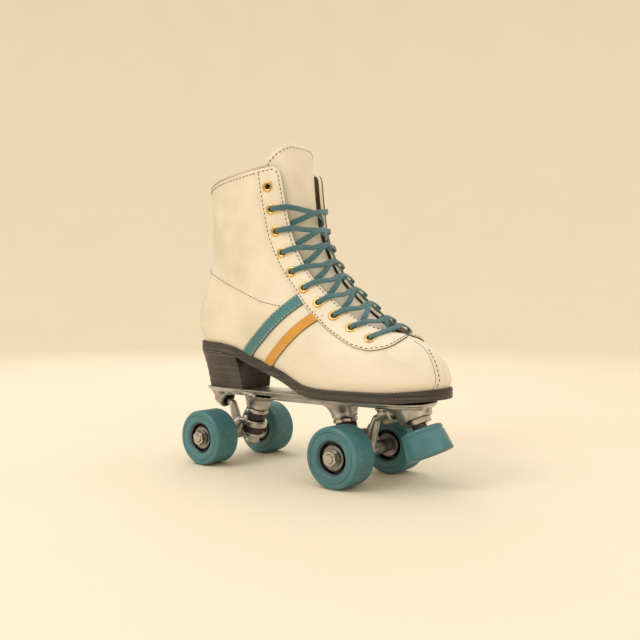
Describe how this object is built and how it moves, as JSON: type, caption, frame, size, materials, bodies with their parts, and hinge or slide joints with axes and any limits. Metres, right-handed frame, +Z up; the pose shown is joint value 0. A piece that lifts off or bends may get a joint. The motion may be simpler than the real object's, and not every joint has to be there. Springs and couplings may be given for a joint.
{
  "type": "quad roller skate",
  "caption": "High-top lace-up leather boot on a heeled sole, with an alloy plate, sprung trucks, wide wheels in pairs and a front toe stop.",
  "frame": {"origin": "on the floor under the middle of the skate's box", "axes": "+X towards the toe, +Y to the wearer's left, +Z up"},
  "size_m": [0.3126, 0.125, 0.3239],
  "materials": {
    "white_leather": "smooth cream-white leather, matt",
    "lining": "dark charcoal woven lining",
    "teal_lace": "flat woven teal lace",
    "teal_leather": "teal leather, satin",
    "amber_leather": "amber leather, satin",
    "stacked_leather": "dark stacked leather with fine layers",
    "cast_alloy": "polished cast alloy with soft wear",
    "steel": "bright plated steel",
    "black_rubber": "dark rubber",
    "teal_urethane": "teal polyurethane, satin",
    "hub_metal": "dark grey metal"
  },
  "bodies": {
    "boot_and_plate": {"boot_upper": "white_leather", "tongue": "white_leather", "insole": "lining", "facing_right": "white_leather", "facing_left": "white_leather", "lace": "teal_lace", "stripe_teal_right": "teal_leather", "stripe_teal_left": "teal_leather", "stripe_amber_right": "amber_leather", "stripe_amber_left": "amber_leather", "welt": "stacked_leather", "outsole": "stacked_leather", "heel_block": "stacked_leather", "plate": "cast_alloy", "front_upper_cup": "steel", "front_upper_cushion": "black_rubber", "front_lower_cushion": "black_rubber", "front_lower_cup": "steel", "front_kingpin_nut": "steel", "front_kingpin": "steel", "front_pivot_cup": "black_rubber", "rear_upper_cup": "steel", "rear_upper_cushion": "black_rubber", "rear_lower_cushion": "black_rubber", "rear_lower_cup": "steel", "rear_kingpin_nut": "steel", "rear_kingpin": "steel", "rear_pivot_cup": "black_rubber", "toe_stop_jam_nut": "steel", "mounting_bolt_front_right": "steel", "mounting_bolt_front_left": "steel", "mounting_bolt_rear_right": "steel", "mounting_bolt_rear_left": "steel"},
    "front_truck": {"front_hanger": "cast_alloy", "front_axle": "steel", "front_right_axle_nut": "steel", "front_left_axle_nut": "steel"},
    "rear_truck": {"rear_hanger": "cast_alloy", "rear_axle": "steel", "rear_right_axle_nut": "steel", "rear_left_axle_nut": "steel"},
    "wheel_front_right": {"front_right_tyre": "teal_urethane", "front_right_hub": "hub_metal", "front_right_inner_bearing": "steel", "front_right_outer_bearing": "steel"},
    "wheel_front_left": {"front_left_tyre": "teal_urethane", "front_left_hub": "hub_metal", "front_left_inner_bearing": "steel", "front_left_outer_bearing": "steel"},
    "wheel_rear_right": {"rear_right_tyre": "teal_urethane", "rear_right_hub": "hub_metal", "rear_right_inner_bearing": "steel", "rear_right_outer_bearing": "steel"},
    "wheel_rear_left": {"rear_left_tyre": "teal_urethane", "rear_left_hub": "hub_metal", "rear_left_inner_bearing": "steel", "rear_left_outer_bearing": "steel"},
    "toe_stop": {"toe_stop_rubber": "teal_urethane", "toe_stop_stem": "steel"}
  },
  "joints": [
    {"name": "front_truck_lean", "type": "hinge", "parent": "boot_and_plate", "child": "front_truck", "pos_m": [0.04587, 0, 0.04099], "axis": [0.8859, 0, 0.4638], "range_deg": [-8, 8], "stiffness_Nm_per_rad": 20, "deforming": ["front_upper_cushion", "front_lower_cushion"]},
    {"name": "rear_truck_lean", "type": "hinge", "parent": "boot_and_plate", "child": "rear_truck", "pos_m": [-0.07723, 0, 0.04099], "axis": [-0.8859, 0, 0.4638], "range_deg": [-8, 8], "stiffness_Nm_per_rad": 20, "deforming": ["rear_upper_cushion", "rear_lower_cushion"]},
    {"name": "wheel_front_right_spin", "type": "hinge", "parent": "front_truck", "child": "wheel_front_right", "pos_m": [0.06982, -0.0445, 0.0285], "axis": [0, 1, 0], "continuous": true},
    {"name": "wheel_front_left_spin", "type": "hinge", "parent": "front_truck", "child": "wheel_front_left", "pos_m": [0.06982, 0.0445, 0.0285], "axis": [0, 1, 0], "continuous": true},
    {"name": "wheel_rear_right_spin", "type": "hinge", "parent": "rear_truck", "child": "wheel_rear_right", "pos_m": [-0.10118, -0.0445, 0.0285], "axis": [0, 1, 0], "continuous": true},
    {"name": "wheel_rear_left_spin", "type": "hinge", "parent": "rear_truck", "child": "wheel_rear_left", "pos_m": [-0.10118, 0.0445, 0.0285], "axis": [0, 1, 0], "continuous": true},
    {"name": "toe_stop_height", "type": "slide", "parent": "boot_and_plate", "child": "toe_stop", "axis": [0.4384, 0, -0.8988], "range_m": [-0.004, 0.004]}
  ]
}
